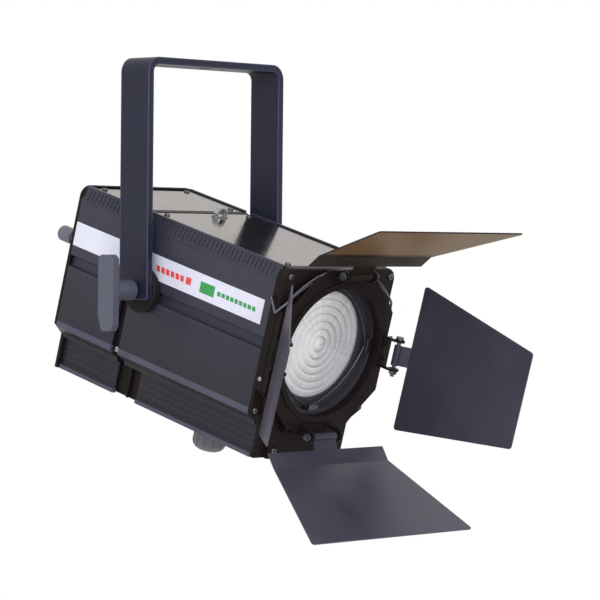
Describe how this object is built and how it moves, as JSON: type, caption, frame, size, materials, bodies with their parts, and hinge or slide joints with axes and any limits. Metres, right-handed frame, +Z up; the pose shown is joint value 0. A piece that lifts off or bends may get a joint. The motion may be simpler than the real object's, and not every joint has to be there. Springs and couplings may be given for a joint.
{
  "type": "fresnel spotlight",
  "caption": "Hanging theatre spotlight with a stepped lens, a finned box housing, a focus knob underneath, a U yoke with a locking lever and four folding barndoor leaves.",
  "frame": {"origin": "centre of the hook bolt hole at the top face of the yoke's bar", "axes": "+Z up along the hook bolt hole, beam towards -Y, X across the head along the tilt axis"},
  "size_m": [0.3045, 0.4863, 0.4563],
  "materials": {
    "yoke_paint": "satin",
    "housing_paint": "satin",
    "black_paint": "satin",
    "cover_sheet": "semi-gloss",
    "leaf_paint": "satin",
    "lens_glass": "polished",
    "condenser_glass": "polished",
    "lever_plastic": "moulded",
    "knob_plastic": "moulded",
    "gland_nylon": "moulded",
    "label_film": "smooth",
    "friction_pad": "matte",
    "zinc_steel": "zinc plated",
    "sheet_steel": "rolled",
    "aluminium_fins": "extruded",
    "bronze": "sintered",
    "led_base": "matte",
    "inner_plastic": "moulded"
  },
  "bodies": {
    "yoke": {"yoke": "yoke_paint"},
    "tilt_lever": {"tilt_lever": "lever_plastic"},
    "carriage": {"carriage_plate": "sheet_steel", "rod_bushes": "bronze", "heatsink": "aluminium_fins", "led_module": "led_base", "condenser_holder": "inner_plastic", "condenser_lens": "condenser_glass", "fan_frame": "inner_plastic", "focus_stem": "zinc_steel"},
    "fan_rotor": {"fan_rotor": "inner_plastic"},
    "focus_knob": {"focus_knob": "knob_plastic"},
    "barndoor": {"turning_ring": "black_paint", "hinge_brackets": "black_paint", "hinge_pins": "black_paint"},
    "leaf_top": {"leaf_top": "leaf_paint"},
    "leaf_bottom": {"leaf_bottom": "leaf_paint"},
    "leaf_left": {"leaf_left": "leaf_paint"},
    "leaf_right": {"leaf_right": "leaf_paint"},
    "head": {"backing_plate_left": "zinc_steel", "backing_plate_right": "zinc_steel", "cable_gland": "gland_nylon", "cap_screws": "zinc_steel", "carrier_plate": "black_paint", "centre_frame": "black_paint", "cover_screws": "zinc_steel", "crossbar": "black_paint", "fresnel_lens": "lens_glass", "friction_disc_left": "friction_pad", "friction_disc_right": "friction_pad", "front_bottom_plate": "black_paint", "front_bulkhead": "sheet_steel", "front_cap": "black_paint", "front_side_panel_left": "housing_paint", "front_side_panel_right": "housing_paint", "front_top_cover": "cover_sheet", "gland_nut": "gland_nylon", "guide_rods": "zinc_steel", "label_strips": "label_film", "led_driver": "inner_plastic", "lens_barrel": "black_paint", "lens_clips": "zinc_steel", "pivot_nut": "zinc_steel", "pivot_stud_left": "zinc_steel", "pivot_stud_right": "zinc_steel", "rear_bottom_plate": "black_paint", "rear_bulkhead": "sheet_steel", "rear_cap": "black_paint", "rear_side_panel_left": "housing_paint", "rear_side_panel_right": "housing_paint", "rear_top_cover": "cover_sheet", "retaining_spring": "zinc_steel", "runner_bottom": "black_paint", "runner_left": "black_paint", "runner_right": "black_paint", "safety_eye": "zinc_steel", "side_screws": "zinc_steel", "snap_ring": "black_paint", "terminal_block": "inner_plastic", "terminal_bracket": "sheet_steel"}
  },
  "joints": [
    {"name": "head_tilt", "type": "hinge", "parent": "yoke", "child": "head", "pos_m": [0, 0, -0.2276], "axis": [1, 0, 0], "range_deg": [-50, 80]},
    {"name": "lever_turn", "type": "hinge", "parent": "yoke", "child": "tilt_lever", "pos_m": [0, 0, -0.2276], "axis": [1, 0, 0], "range_deg": [-90, 90]},
    {"name": "focus_slide", "type": "slide", "parent": "head", "child": "carriage", "axis": [0, 0.9622, 0.2723], "range_m": [-0.035, 0.035]},
    {"name": "focus_knob_turn", "type": "hinge", "parent": "carriage", "child": "focus_knob", "pos_m": [0, -0.01288, -0.37674], "axis": [0, -0.2723, 0.9622], "range_deg": [-180, 180]},
    {"name": "fan_spin", "type": "hinge", "parent": "carriage", "child": "fan_rotor", "pos_m": [0, -0.0084, -0.23465], "axis": [0, -0.9622, -0.2723], "continuous": true},
    {"name": "barndoor_turn", "type": "hinge", "parent": "head", "child": "barndoor", "pos_m": [0, -0.17597, -0.28519], "axis": [0, -0.9622, -0.2723], "continuous": true},
    {"name": "leaf_top_hinge", "type": "hinge", "parent": "barndoor", "child": "leaf_top", "pos_m": [0, -0.21034, -0.21146], "axis": [-1, 0, 0], "range_deg": [-39.3, 65.7]},
    {"name": "leaf_bottom_hinge", "type": "hinge", "parent": "barndoor", "child": "leaf_bottom", "pos_m": [0, -0.16661, -0.36599], "axis": [1, 0, 0], "range_deg": [-32.3, 72.7]},
    {"name": "leaf_right_hinge", "type": "hinge", "parent": "barndoor", "child": "leaf_right", "pos_m": [0.0803, -0.18848, -0.28873], "axis": [0, -0.2723, 0.9622], "range_deg": [-34.8, 90.2]},
    {"name": "leaf_left_hinge", "type": "hinge", "parent": "barndoor", "child": "leaf_left", "pos_m": [-0.0803, -0.18848, -0.28873], "axis": [0, 0.2723, -0.9622], "range_deg": [-74.6, 50.4]}
  ]
}
